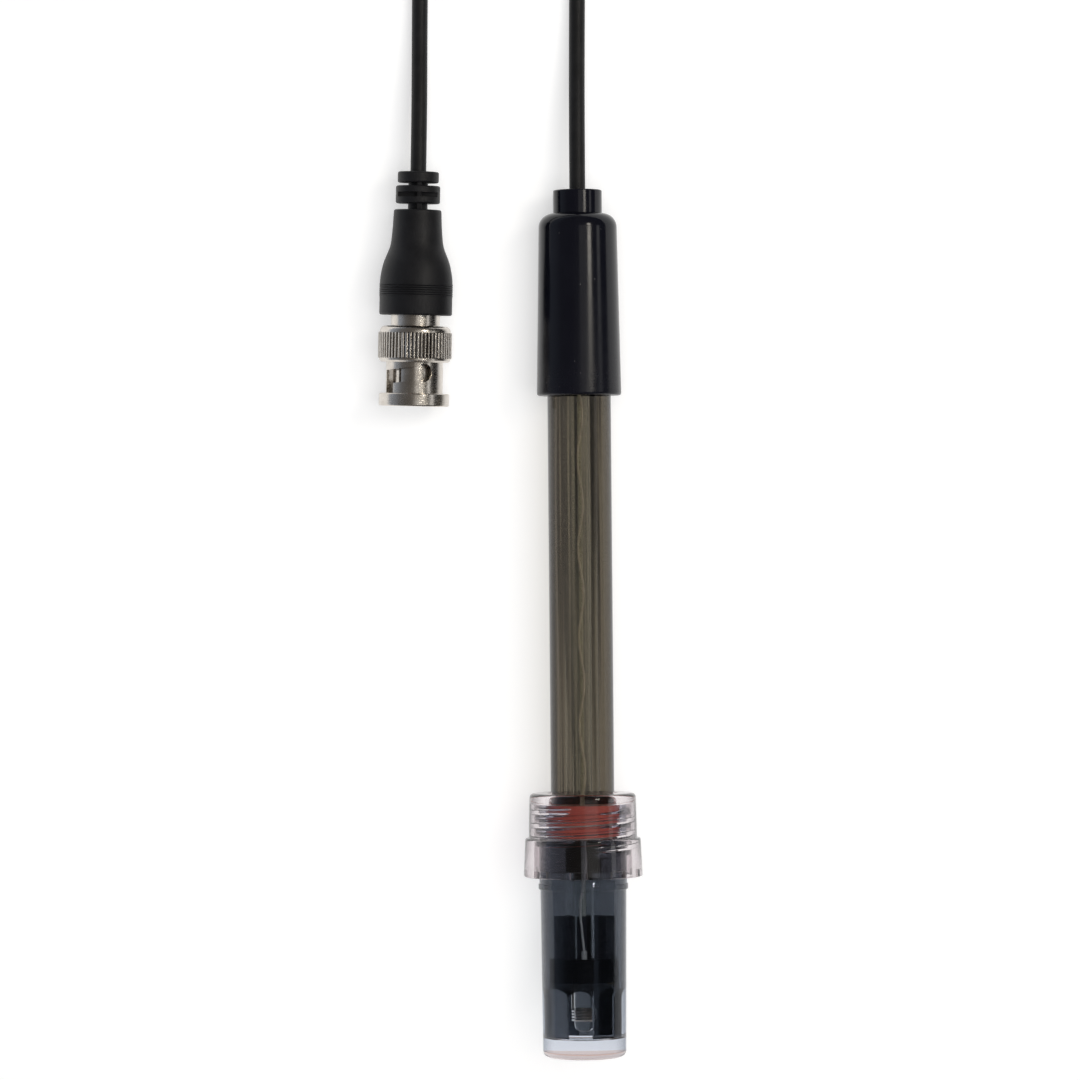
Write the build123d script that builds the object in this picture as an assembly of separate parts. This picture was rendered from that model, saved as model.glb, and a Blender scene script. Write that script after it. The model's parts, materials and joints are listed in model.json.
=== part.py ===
from build123d import *
import math
import os

os.makedirs("parts", exist_ok=True)

# A redox probe lies on a flat surface with its tip in a screw-on storage vial,
# and its cable runs through a put-away coil to a bayonet plug beside it.
# All sizes are millimetres. Along the probe they count up from the vial's underside,
# along the plug from its mouth towards the cable. Front is the side that faces up.

# Electrode body: a tinted tube with a slotted guard at its end
body_d = 12.0
body_wall = 1.2
body_length = 120.6
spigot_wall = 0.8
spigot_length = 25.5
seat_groove_width = 0.7
seat_groove_depth = 0.2
seat_groove_above_collar = 0.2
window_places = (0, 120, 240)
window_widths = (4.1, 7.0, 7.0)
window_height = 9.0
window_corner_r = 1.9
widest_corner = 0.46
guard_turn = -7.3

# Clearances shared by pieces that are pressed, slid or screwed together
press_gap = 0.02
slip_gap = 0.05
guard_gap = 0.3

# Bulkhead across the tube, with prongs that stand round the stem tube
bulkhead_above_windows = 1.4
bulkhead_length = 4.5
stem_socket = 2.5
prong_height = 8.1
prong_gap = 0.15
side_prongs = ((-50.0, 40.0), (62.0, 30.0), (168.0, 36.0))
front_prong = (-6.0, 26.0)

# Stem tube, wires and sensing tip
stem_d = 4.8
stem_bore = 2.4
signal_wire_d = 0.6
reference_wire_d = 0.4
reference_wire_inset = 0.9
reference_wire_sway = 0.7
reference_wire_wave = 16.0
crimp_d = 0.9
crimp_length = 1.6
junction_d = 1.1
junction_inset = 1.1
junction_turn = 97.0
junction_proud = 0.8
glass_d = 2.7
glass_recess = 1.2
winding_wire_d = 0.4
winding_pitch = 0.55
winding_turns = 4.5
winding_up_glass = 1.9

# Handle cap, its potting disc and the cable gland
handle_step = 1.96
handle_narrowing = 0.575
handle_taper_length = 31.53
handle_shoulder_r = 2.65
handle_ledge = 0.12
handle_neck_length = 4.4
handle_edge_r = 0.5
handle_socket_spare = 0.5
potting_length = 4.0
wire_room = 0.3
wire_chamber_length = 3.0
gland_wall = 1.07
gland_length = 8.0
gland_recess = 0.15
cable_d = 3.0
cable_gap = 0.03
cable_in_gland = 4.0

# Storage vial with its screw neck
vial_floor = 3.6
vial_wall = 1.35
vial_flare = 0.28
vial_body_length = 31.6
vial_edge_r = 1.2
vial_dimple_d = 7.3
vial_dimple_depth = 0.5
vial_side_gap = 0.5
bead_height = 1.1
bead_proud = 0.18
neck_wall = 1.25
neck_length = 14.8
seal_seat_depth = 6.2

# Coarse screw thread between vial and collar
thread_pitch = 2.5
thread_depth = 0.8
thread_root_width = 1.1
thread_crest_width = 0.5
thread_turns = 3.5
thread_below_top = 0.2
thread_gap = 0.2
thread_bite = 0.3

# Seal ring that grips the tube
seal_wall = 0.95
seal_proud = 0.2
seal_edge_r = 0.4

# Clear screw collar
collar_top_wall = 2.0
collar_wall = 0.73
collar_waist_flare = 0.19
skirt_step = 0.66
skirt_flare = 0.32
collar_length = 15.7
skirt_length = 7.3
skirt_straight = 0.5
collar_hole_gap = 0.45
collar_round_r = 0.9
skirt_edge_r = 0.3
lip_notch_count = 8
lip_notch_angle = 18.0
lip_notch_height = 1.3
lip_notch_depth = 0.95
lip_notch_turn = -5.35

# Bayonet plug: coupling sleeve
mate_room = 0.85
rim_proud = 1.25
rim_length = 2.45
rim_edge_r = 0.3
sleeve_wall = 0.5
sleeve_length = 15.1
knurl_start = 8.3
knurl_proud = 1.55
knurl_depth = 0.24
knurl_count = 60
knurl_clear = 0.7
knurl_tail = 1.2
knurl_round_r = 1.0
sleeve_lip_length = 2.2
detent_d = 3.4
detent_place = 6.35
detent_turn = 20.8
ramp_turn = -59.5
ramp_rise = 0.9
ramp_width = 2.6
entry_width = 2.5
entry_depth = 0.7

# Bayonet plug: contacts, body and springs
contact_recess = 2.0
contact_bore = 6.8
contact_wall = 0.65
contact_slit_width = 0.5
contact_slit_to_gasket = 0.4
contact_slit_count = 4
contact_slit_turn = -40.0
gasket_groove_depth = 0.2
gasket_length = 1.2
gasket_gap = 0.15
flange_length = 1.3
contact_spigot_wall = 0.4
contact_spigot_length = 1.5
washer_length = 0.6
spring_thickness = 0.35
spring_rise = 1.4
coupling_gap = 0.1
plug_neck_proud = 0.585
plug_neck_length = 1.95
boot_ledge = 0.435
plug_barrel_length = 3.4
crimp_stem_under_jacket = 0.2
crimp_stem_wall = 0.5
crimp_stem_length = 5.4
solder_room_length = 1.8
insulator_set_back = 0.1
pin_d = 1.35
pin_shank_d = 1.9
pin_recess = 2.4
ferrule_wall = 0.62
ferrule_length = 8.8

# Bayonet plug: rubber boot with its ribbed strain relief
boot_wall = 2.66
boot_band_proud = 0.075
boot_band_start = 3.55
boot_band_length = 2.3
boot_groove_count = 5
boot_groove_depth = 0.12
boot_cone_length = 14.0
boot_cone_end_d = 8.95
boot_curve = (
    (0.107, 0.046),
    (0.171, 0.109),
    (0.321, 0.34),
    (0.443, 0.633),
    (0.521, 0.78),
    (0.607, 0.853),
    (0.807, 0.948),
)
relief_wall = 0.32
relief_web_width = 0.8
relief_web_shift = 0.35
rib_low_d = 8.35
rib_high_d = 7.75
rib_gap_low = 1.15
rib_low_length = 3.35
rib_gap_high = 0.55
rib_high_length = 2.1
rib_slot_height = 0.9
rib_edge_r = 0.35

# Where the plug lies, measured from the probe's own middle
plug_mouth_x = -31.2
plug_mouth_y = 41.2
plug_yaw = 1.7

# Put-away coil and the strap round it
coil_x = -15.0
coil_y = 152.0
coil_inner_turn = 12.0
coil_lanes = 4
coil_layers = 2
coil_entry = 9.0
coil_edge_r = 1.2
lead_run_out = 13.0
tail_run_out = 8.0
tie_width = 4.0
tie_thickness = 0.4


def outline(points, rounds=()):
    """Closed face in the plane of radius and height, with some corners rounded."""
    face = make_face(Polyline(*points, close=True))
    for corner, radius in rounds:
        vertex = face.vertices().sort_by_distance(Vector(corner[0], corner[1], 0))[0]
        face = fillet(vertex, radius)
    return face


def turned(points, rounds=()):
    """Solid of revolution about the vertical axis from a radius and height outline."""
    return revolve(Plane.XZ * outline(points, rounds), Axis.Z)


def ring(inner_d, outer_d, low, high):
    """Plain tube between two heights."""
    return turned(((inner_d / 2, low), (outer_d / 2, low), (outer_d / 2, high), (inner_d / 2, high)))


def rod(diameter, low, high):
    """Plain round bar between two heights."""
    return Pos(0, 0, low) * Cylinder(diameter / 2, high - low, align=(Align.CENTER, Align.CENTER, Align.MIN))


def at_angle(radius, angle):
    """Point round the axis: zero degrees is the front, positive to the right."""
    turn = math.radians(angle)
    return radius * math.sin(turn), -radius * math.cos(turn)


def front_box(width, inner_r, outer_r, low, high):
    """Box that cuts through the front of a wall, standing on the axis's front side."""
    box = Box(width, outer_r - inner_r, high - low, align=(Align.CENTER, Align.MAX, Align.MIN))
    return Pos(0, -inner_r, low) * box


def front_drill(diameter, inner_r, outer_r, height):
    """Radial drill through the front of a wall."""
    drill = Cylinder(diameter / 2, outer_r - inner_r, align=(Align.CENTER, Align.CENTER, Align.MIN))
    return Pos(0, -inner_r, height) * Rot(90, 0, 0) * drill


def sector(inner_r, outer_r, low, high, middle, spread):
    """Piece of a ring wall, centred on an angle from the front."""
    face = outline(((inner_r, low), (outer_r, low), (outer_r, high), (inner_r, high)))
    wedge = revolve(Plane.XZ * face, Axis.Z, revolution_arc=spread)
    return Rot(0, 0, middle - 90 - spread / 2) * wedge


def screw_ridge(from_r, to_r, from_width, to_width, turns, start):
    """Helical ridge that stands from one radius to another, cut square at both ends."""
    path = Helix(pitch=thread_pitch, height=thread_pitch * turns, radius=from_r)
    half_from = from_width / 2
    half_to = to_width / 2
    corners = ((from_r, 0, -half_from), (to_r, 0, -half_to), (to_r, 0, half_to), (from_r, 0, half_from))
    ridge = sweep(make_face(Polyline(*corners, close=True)), path, is_frenet=True)
    return Pos(0, 0, start) * ridge


def fused(base, *others):
    """One solid from pieces that overlap."""
    for other in others:
        base = base + other
    return base


# Places along the probe
body_r = body_d / 2
bore_r = body_r - body_wall
tip = vial_floor + guard_gap
handle_low = tip + body_length
spigot_top = handle_low + spigot_length
window_top = tip + window_height
bulkhead_low = window_top + bulkhead_above_windows
bulkhead_high = bulkhead_low + bulkhead_length
stem_low = bulkhead_high - stem_socket
potting_high = spigot_top - press_gap
potting_low = potting_high - potting_length
neck_base = vial_body_length + bead_height
vial_top = neck_base + neck_length
seal_seat = vial_top - seal_seat_depth
seal_high = vial_top + seal_proud
collar_high = seal_high + collar_top_wall
collar_low = collar_high - collar_length

# Electrode body tube
spigot_r = bore_r + spigot_wall
groove_low = collar_high - seat_groove_width + seat_groove_above_collar
body_tube = turned((
    (bore_r, tip),
    (body_r, tip),
    (body_r, groove_low),
    (body_r - seat_groove_depth, groove_low),
    (body_r - seat_groove_depth, groove_low + seat_groove_width),
    (body_r, groove_low + seat_groove_width),
    (body_r, handle_low),
    (spigot_r, handle_low),
    (spigot_r, spigot_top),
    (bore_r, spigot_top),
))
for place, width in zip(window_places, window_widths):
    window = front_box(width, bore_r / 2, body_r + 1, tip - 1, window_top)
    corners = window.edges().filter_by(Axis.Y).group_by(Axis.Z)[-1]
    window = fillet(corners, min(window_corner_r, width * widest_corner))
    body_tube = body_tube - Rot(0, 0, guard_turn + place) * window

# Bulkhead plug with its prongs, sockets and the hole for the reference junction
stem_r = stem_d / 2
glass_r = glass_d / 2
glass_low = tip + glass_recess
bulkhead_plug = rod(2 * (bore_r - press_gap), bulkhead_low, bulkhead_high)
bulkhead_plug = bulkhead_plug - rod(stem_d + 2 * press_gap, stem_low, bulkhead_high + 1)
bulkhead_plug = bulkhead_plug - rod(glass_d + 2 * press_gap, bulkhead_low - 1, stem_low)
prong_inner = stem_r + prong_gap
prong_outer = bore_r - prong_gap
reference_wire_radius = bore_r - reference_wire_inset
front_prong_outer = reference_wire_radius - crimp_d / 2 - prong_gap
prong_base = bulkhead_high - 0.5
prong_top = bulkhead_high + prong_height
for middle, spread in side_prongs:
    bulkhead_plug = bulkhead_plug + sector(prong_inner, prong_outer, prong_base, prong_top, middle, spread)
bulkhead_plug = bulkhead_plug + sector(prong_inner, front_prong_outer, prong_base, prong_top, *front_prong)
junction_x, junction_y = at_angle(bore_r - junction_inset, junction_turn)
junction_hole = rod(junction_d + 2 * press_gap, bulkhead_low - 1, bulkhead_high + 1)
bulkhead_plug = bulkhead_plug - Pos(junction_x, junction_y, 0) * junction_hole

# Porous ceramic junction through the bulkhead
reference_junction = Pos(junction_x, junction_y, 0) * rod(
    junction_d, bulkhead_low - junction_proud / 2, bulkhead_high + junction_proud
)

# Glass stem tube up the middle of the body
stem_tube = ring(stem_bore, stem_d, stem_low, potting_high)

# Solid glass tip with a rounded end
glass_tip = turned(
    ((0, glass_low), (glass_r, glass_low), (glass_r, stem_low), (0, stem_low)),
    (((glass_r, glass_low), glass_r * 0.85),),
)

# Platinum wire wound round the glass, with a tail up to the bulkhead
winding_r = glass_r + press_gap + winding_wire_d / 2
winding_low = glass_low + winding_up_glass
winding_height = winding_pitch * winding_turns
winding_path = Helix(pitch=winding_pitch, height=winding_height, radius=winding_r)
wire_section = Plane(origin=winding_path @ 0, z_dir=winding_path % 0) * Circle(winding_wire_d / 2)
winding_coil = Pos(0, 0, winding_low) * sweep(wire_section, winding_path, is_frenet=True)
tail_foot = winding_path @ 1
tail_low = winding_low + winding_height - winding_wire_d / 4
winding_tail = Pos(tail_foot.X, tail_foot.Y, 0) * rod(winding_wire_d + press_gap, tail_low, bulkhead_low)
platinum_winding = winding_coil + winding_tail

# Handle cap, turned down to a neck for the cable
handle_low_r = body_r + handle_step
handle_high_r = handle_low_r - handle_narrowing
handle_neck_r = handle_high_r - handle_shoulder_r - handle_ledge
handle_shoulder = handle_low + handle_taper_length + handle_shoulder_r + handle_ledge
handle_high = handle_shoulder + handle_neck_length
socket_r = spigot_r + press_gap
socket_top = spigot_top + handle_socket_spare
chamber_top = socket_top + wire_chamber_length
gland_low = handle_high - gland_length
chamber_r = reference_wire_radius + wire_room
cable_hole_r = cable_d / 2 + cable_gap
gland_r = cable_hole_r + gland_wall
handle_cap = turned(
    (
        (socket_r, handle_low),
        (handle_low_r, handle_low),
        (handle_high_r, handle_low + handle_taper_length),
        (handle_high_r, handle_shoulder),
        (handle_neck_r, handle_shoulder),
        (handle_neck_r, handle_high),
        (gland_r, handle_high),
        (gland_r, gland_low),
        (cable_hole_r, gland_low),
        (cable_hole_r, chamber_top),
        (chamber_r, chamber_top),
        (chamber_r, socket_top),
        (socket_r, socket_top),
    ),
    (
        ((handle_low_r, handle_low), handle_edge_r),
        ((handle_high_r, handle_shoulder), handle_shoulder_r),
        ((handle_neck_r, handle_high), handle_edge_r / 2),
    ),
)

# Soft gland that the cable leaves through
cable_gland = ring(2 * cable_hole_r, 2 * (gland_r - press_gap), gland_low, handle_high - gland_recess)

# Wires: a straight one inside the stem, a wavy silver one in front of it
signal_wire = rod(signal_wire_d, stem_low + press_gap, chamber_top)
crimp_low = bulkhead_high + press_gap
crimp_high = crimp_low + crimp_length
wire_crimp = Pos(0, -reference_wire_radius, 0) * rod(crimp_d, crimp_low, crimp_high)
wave_count = int((potting_low - crimp_high - reference_wire_wave) / reference_wire_wave * 2)
wave_step = (potting_low - crimp_high) / (wave_count + 2)
wave_points = [(0, -reference_wire_radius, crimp_high)]
for step in range(wave_count + 1):
    side = reference_wire_sway if step % 2 else -reference_wire_sway
    wave_points.append((side, -reference_wire_radius, crimp_high + wave_step * (step + 1)))
wave_points.append((0, -reference_wire_radius, potting_low))
wave_bend_r = 0.4 * wave_step * wave_step / (2 * reference_wire_sway)
wave_path = FilletPolyline(*wave_points, radius=wave_bend_r)
wave_section = Plane(origin=wave_path @ 0, z_dir=wave_path % 0) * Circle(reference_wire_d / 2)
wire_top = Pos(0, -reference_wire_radius, 0) * rod(reference_wire_d, potting_low - press_gap, chamber_top)
wire_knee = Pos(0, -reference_wire_radius, potting_low) * Sphere(reference_wire_d / 2 + press_gap / 2)
reference_wire = fused(sweep(wave_section, wave_path), wire_knee, wire_top)

# Potting disc that closes the tube round the stem and the wire
end_plug = ring(stem_d + 2 * press_gap, 2 * (bore_r - press_gap), potting_low, potting_high)
wire_hole = rod(reference_wire_d + 4 * press_gap, potting_low - 1, potting_high + 1)
end_plug = end_plug - Pos(0, -reference_wire_radius, 0) * wire_hole
wire_mouth = Pos(0, -reference_wire_radius, potting_low) * Sphere(reference_wire_d / 2 + 2 * press_gap)
end_plug = end_plug - wire_mouth

# Storage vial: tapered cup with a bead, a screw neck and a seat for the seal
vial_bore_r = body_r + vial_side_gap
vial_base_r = vial_bore_r + vial_wall
vial_top_r = vial_base_r + vial_flare
seal_r = body_r + slip_gap + seal_wall
seat_r = seal_r + slip_gap
neck_r = seat_r + neck_wall
bead_r = max(vial_top_r, neck_r) + bead_proud
bead_edge_r = 0.8 * bead_proud
storage_vial = turned(
    (
        (0, vial_dimple_depth),
        (vial_dimple_d / 2, vial_dimple_depth),
        (vial_dimple_d / 2, 0),
        (vial_base_r, 0),
        (vial_top_r, vial_body_length),
        (bead_r, vial_body_length),
        (bead_r, neck_base),
        (neck_r, neck_base),
        (neck_r, vial_top),
        (seat_r, vial_top),
        (seat_r, seal_seat),
        (vial_bore_r, seal_seat),
        (vial_bore_r, vial_floor),
        (0, vial_floor),
    ),
    (
        ((vial_dimple_d / 2, vial_dimple_depth), vial_dimple_depth * 0.8),
        ((vial_base_r, 0), vial_edge_r),
        ((bead_r, vial_body_length), bead_edge_r),
        ((bead_r, neck_base), bead_edge_r),
        ((vial_bore_r, vial_floor), vial_edge_r),
    ),
)
vial_crest_r = neck_r + thread_depth
vial_flank_slope = (thread_root_width - thread_crest_width) / thread_depth
vial_thread_high = vial_top - thread_below_top - thread_root_width / 2
vial_thread_low = vial_thread_high - thread_turns * thread_pitch
storage_vial = storage_vial + screw_ridge(
    neck_r - thread_bite,
    vial_crest_r,
    thread_root_width + thread_bite * vial_flank_slope,
    thread_crest_width,
    thread_turns,
    vial_thread_low,
)

# Seal ring round the tube, held down by the collar
seal_ring = turned(
    (
        (body_r + slip_gap, seal_seat),
        (seal_r, seal_seat),
        (seal_r, seal_high),
        (body_r + slip_gap, seal_high),
    ),
    (
        ((seal_r, seal_seat), seal_edge_r),
        ((seal_r, seal_high), seal_edge_r),
    ),
)

# Screw collar: its thread runs in the vial's, half a pitch away, with a gap on every flank
collar_bore_r = vial_crest_r + thread_gap
collar_top_r = collar_bore_r + collar_wall
collar_waist_r = collar_top_r + collar_waist_flare
skirt_high_r = collar_waist_r + skirt_step
skirt_low_r = skirt_high_r + skirt_flare
collar_hole_r = body_r + collar_hole_gap
skirt_top = collar_low + skirt_length
collar_shell = turned(
    (
        (collar_bore_r, collar_low),
        (skirt_low_r, collar_low),
        (skirt_low_r, collar_low + skirt_straight),
        (skirt_high_r, skirt_top),
        (collar_waist_r, skirt_top),
        (collar_top_r, collar_high),
        (collar_hole_r, collar_high),
        (collar_hole_r, seal_high),
        (collar_bore_r, seal_high),
    ),
    (
        ((skirt_low_r, collar_low), skirt_edge_r),
        ((skirt_high_r, skirt_top), skirt_step * 0.6),
        ((collar_waist_r, skirt_top), skirt_step * 0.3),
        ((collar_top_r, collar_high), collar_round_r),
        ((collar_hole_r, collar_high), collar_round_r / 3),
    ),
)
collar_crest_r = neck_r + thread_gap
collar_root_r = collar_bore_r + thread_bite
collar_root_width = thread_crest_width + (collar_root_r - collar_crest_r) * vial_flank_slope
screw_collar = collar_shell + screw_ridge(
    collar_root_r,
    collar_crest_r,
    collar_root_width,
    thread_crest_width,
    thread_turns - 0.5,
    vial_thread_low + thread_pitch / 2,
)
notch = sector(
    collar_bore_r - 0.5,
    collar_bore_r + lip_notch_depth,
    collar_low - 1,
    collar_low + lip_notch_height,
    0,
    lip_notch_angle,
)
for step in range(lip_notch_count):
    screw_collar = screw_collar - Rot(0, 0, lip_notch_turn + step * 360 / lip_notch_count) * notch

# Coupling sleeve: rim, bayonet slots, knurled grip and the lip behind the washers
contact_bore_r = contact_bore / 2
contact_r = contact_bore_r + contact_wall
sleeve_bore_r = contact_r + mate_room
sleeve_r = sleeve_bore_r + sleeve_wall
rim_r = sleeve_r + rim_proud
knurl_r = sleeve_r + knurl_proud
knurl_root_r = knurl_r - knurl_depth
knurl_end = sleeve_length - knurl_tail
lip_front = sleeve_length - sleeve_lip_length
sleeve_lip_r = contact_r + coupling_gap
ramp_place = detent_place - ramp_rise
coupling_sleeve = turned(
    (
        (sleeve_bore_r, 0),
        (rim_r, 0),
        (rim_r, rim_length),
        (sleeve_r, rim_length),
        (sleeve_r, knurl_start),
        (knurl_root_r - knurl_clear / 2, knurl_start),
        (knurl_root_r, knurl_start + knurl_clear / 2),
        (knurl_root_r, sleeve_length),
        (sleeve_lip_r, sleeve_length),
        (sleeve_lip_r, lip_front),
        (sleeve_bore_r, lip_front),
    ),
    (
        ((rim_r, 0), rim_edge_r),
        ((rim_r, rim_length), rim_edge_r),
        ((knurl_root_r, sleeve_length), knurl_round_r),
    ),
)
knurl_points = []
for step in range(knurl_count):
    for share, radius in ((-0.32, knurl_r), (0.32, knurl_r), (0.5, knurl_root_r - 0.02)):
        turn = math.radians((step + share) * 360 / knurl_count)
        knurl_points.append((radius * math.cos(turn), radius * math.sin(turn)))
knurl_ring = extrude(make_face(Polyline(*knurl_points, close=True)), knurl_end - knurl_start - knurl_clear)
knurl_ring = knurl_ring - Cylinder(knurl_root_r - 0.3, 3 * sleeve_length)
coupling_sleeve = coupling_sleeve + Pos(0, 0, knurl_start + knurl_clear) * knurl_ring
ramp_sweep = detent_turn - ramp_turn
ramp_pitch = ramp_rise * 360 / ramp_sweep
ramp_path = Helix(pitch=ramp_pitch, height=ramp_rise, radius=sleeve_r)
ramp_face = make_face(Polyline(
    (sleeve_bore_r - 0.5, 0, -ramp_width / 2),
    (sleeve_r + 0.5, 0, -ramp_width / 2),
    (sleeve_r + 0.5, 0, ramp_width / 2),
    (sleeve_bore_r - 0.5, 0, ramp_width / 2),
    close=True,
))
ramp = Pos(0, 0, ramp_place) * Rot(0, 0, ramp_turn - 90) * sweep(ramp_face, ramp_path, is_frenet=True)
detent = Rot(0, 0, detent_turn) * front_drill(detent_d, sleeve_bore_r - 0.5, sleeve_r + 0.5, detent_place)
entry = Rot(0, 0, ramp_turn) * front_box(
    entry_width, sleeve_bore_r - 0.5, sleeve_bore_r + entry_depth, -1, ramp_place + ramp_width / 2
)
for half_turn in (0, 180):
    for cutter in (ramp, detent, entry):
        coupling_sleeve = coupling_sleeve - Rot(0, 0, half_turn) * cutter

# Outer contact: slit fingers, gasket groove, flange and a spigot into the plug body
contact_spigot_r = contact_bore_r + contact_spigot_wall
washer_low = lip_front - washer_length
flange_high = washer_low - spring_rise
flange_low = flange_high - flange_length
flange_r = sleeve_bore_r - coupling_gap
gasket_place = flange_low - gasket_length
plug_face = sleeve_length + coupling_gap
outer_contact = turned(
    (
        (contact_bore_r, contact_recess),
        (contact_r, contact_recess),
        (contact_r, gasket_place),
        (contact_r - gasket_groove_depth, gasket_place),
        (contact_r - gasket_groove_depth, flange_low),
        (flange_r, flange_low),
        (flange_r, flange_high),
        (contact_r, flange_high),
        (contact_r, plug_face),
        (contact_spigot_r, plug_face),
        (contact_spigot_r, plug_face + contact_spigot_length),
        (contact_bore_r, plug_face + contact_spigot_length),
    ),
    (((contact_r, contact_recess), 0.2),),
)
slit_end = gasket_place - contact_slit_to_gasket
slit = front_box(contact_slit_width, contact_bore_r - 1, contact_r + 1, contact_recess - 1, slit_end)
for step in range(contact_slit_count):
    outer_contact = outer_contact - Rot(0, 0, contact_slit_turn + step * 360 / contact_slit_count) * slit

# Soft gasket in its groove, conical spring and flat washer behind the flange
gasket_inner_r = contact_r - gasket_groove_depth + press_gap
gasket_outer_r = sleeve_bore_r - gasket_gap
gasket = ring(2 * gasket_inner_r, 2 * gasket_outer_r, gasket_place + press_gap, flange_low)
spring_inner_r = contact_r + coupling_gap
spring_outer_r = sleeve_bore_r - coupling_gap
thrust_washer = ring(2 * spring_inner_r, 2 * spring_outer_r, washer_low, lip_front)
spring_low = flange_high + press_gap
spring_high = washer_low - press_gap
spring_washer = turned((
    (spring_inner_r, spring_low),
    (spring_inner_r + spring_thickness, spring_low),
    (spring_outer_r, spring_high),
    (spring_outer_r - spring_thickness, spring_high),
))

# Plug body: neck, barrel for the boot and crimp stem
plug_neck_r = contact_r + plug_neck_proud
barrel_r = plug_neck_r - boot_ledge
stem_tip_r = cable_d / 2 - crimp_stem_under_jacket
stem_tip_bore_r = stem_tip_r - crimp_stem_wall
barrel_low = plug_face + plug_neck_length
barrel_high = barrel_low + plug_barrel_length
stem_end = barrel_high + crimp_stem_length
spigot_seat = plug_face + contact_spigot_length + press_gap
solder_room = spigot_seat + solder_room_length
plug_body = turned((
    (contact_spigot_r + press_gap, plug_face),
    (plug_neck_r, plug_face),
    (plug_neck_r, barrel_low),
    (barrel_r, barrel_low),
    (barrel_r, barrel_high),
    (stem_tip_r, barrel_high),
    (stem_tip_r, stem_end),
    (stem_tip_bore_r, stem_end),
    (stem_tip_bore_r, solder_room),
    (contact_bore_r, solder_room),
    (contact_bore_r, spigot_seat),
    (contact_spigot_r + press_gap, spigot_seat),
))

# White insulator and the centre pin through it, with its solder end in the body's hollow
insulator_front = gasket_place + insulator_set_back
insulator_end = spigot_seat - press_gap
solder_end = insulator_end + 2 * solder_room_length / 3
insulator = ring(pin_shank_d + 2 * press_gap, contact_bore - 2 * press_gap, insulator_front, insulator_end)
center_pin = turned(
    (
        (0, pin_recess),
        (pin_d / 2, pin_recess),
        (pin_d / 2, insulator_front),
        (pin_shank_d / 2, insulator_front),
        (pin_shank_d / 2, solder_end),
        (0, solder_end),
    ),
    (((pin_d / 2, pin_recess), pin_d * 0.4),),
)

# Crimp ferrule over the stem and the end of the cable's jacket
ferrule_low = barrel_high + press_gap
ferrule_high = ferrule_low + ferrule_length
ferrule_r = cable_hole_r + ferrule_wall
crimp_ferrule = ring(2 * cable_hole_r, 2 * ferrule_r, ferrule_low, ferrule_high)

# Rubber boot: grip band with fine grooves, curved taper and two ribs on a thin neck
boot_low = barrel_low
boot_r = barrel_r + boot_wall
band_r = boot_r + boot_band_proud
band_low = boot_low + boot_band_start
band_high = band_low + boot_band_length
cone_end_r = boot_cone_end_d / 2
cone_end = band_high + boot_cone_length
relief_neck_r = cable_hole_r + relief_wall
rib_low_start = cone_end + rib_gap_low
rib_low_end = rib_low_start + rib_low_length
rib_high_start = rib_low_end + rib_gap_high
boot_end = rib_high_start + rib_high_length
boot_edge = [
    (barrel_r + press_gap, boot_low),
    (boot_r, boot_low),
    (boot_r, band_low),
    (band_r, band_low),
]
groove_step = boot_band_length / (2 * boot_groove_count + 1)
for step in range(boot_groove_count):
    groove_start = band_low + groove_step * (2 * step + 1)
    boot_edge.append((band_r, groove_start))
    boot_edge.append((band_r - boot_groove_depth, groove_start + groove_step / 2))
    boot_edge.append((band_r, groove_start + groove_step))
boot_edge.append((band_r, band_high))
boot_shoulder = (boot_r, band_high)
cone_top = (cone_end_r, cone_end)
boot_side = [boot_shoulder]
for along, narrowing in boot_curve:
    boot_side.append((boot_r - narrowing * (boot_r - cone_end_r), band_high + along * boot_cone_length))
boot_side.append(cone_top)
boot_inside = [
    cone_top,
    (relief_neck_r, cone_end),
    (relief_neck_r, rib_low_start),
    (rib_low_d / 2, rib_low_start),
    (rib_low_d / 2, rib_low_end),
    (relief_neck_r, rib_low_end),
    (relief_neck_r, rib_high_start),
    (rib_high_d / 2, rib_high_start),
    (rib_high_d / 2, boot_end),
    (cable_hole_r, boot_end),
    (cable_hole_r, ferrule_high + press_gap),
    (ferrule_r + press_gap, ferrule_high + press_gap),
    (ferrule_r + press_gap, barrel_high + press_gap),
    (barrel_r + press_gap, barrel_high + press_gap),
    (barrel_r + press_gap, boot_low),
]
boot_face = make_face([
    *Polyline(*boot_edge, boot_shoulder).edges(),
    *Spline(*boot_side).edges(),
    *Polyline(*boot_inside).edges(),
])
for corner in ((rib_low_d / 2, rib_low_start), (rib_low_d / 2, rib_low_end),
               (rib_high_d / 2, rib_high_start), (rib_high_d / 2, boot_end),
               (boot_r, boot_low), cone_top):
    vertex = boot_face.vertices().sort_by_distance(Vector(corner[0], corner[1], 0))[0]
    boot_face = fillet(vertex, rib_edge_r)
plug_boot = revolve(Plane.XZ * boot_face, Axis.Z)
web_depth = rib_high_d / 2 - rib_edge_r
web_low = cone_end - rib_edge_r
web_high = rib_high_start + rib_edge_r
web_middle = (web_low + web_high) / 2
relief_web = Pos(relief_web_shift, 0, web_middle) * Box(relief_web_width, 2 * web_depth, web_high - web_low)
relief_web = relief_web - rod(2 * (cable_hole_r + 0.1), cone_end - 1, boot_end)
slot_middle = (rib_low_start + rib_low_end) / 2
slot_box = Box(2 * rib_low_d, rib_low_d, rib_slot_height, align=(Align.CENTER, Align.MAX, Align.CENTER))
rib_slot = Pos(0, -relief_neck_r, slot_middle) * slot_box
plug_boot = plug_boot - rib_slot - Rot(0, 0, 180) * rib_slot
plug_boot = plug_boot + relief_web

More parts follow.
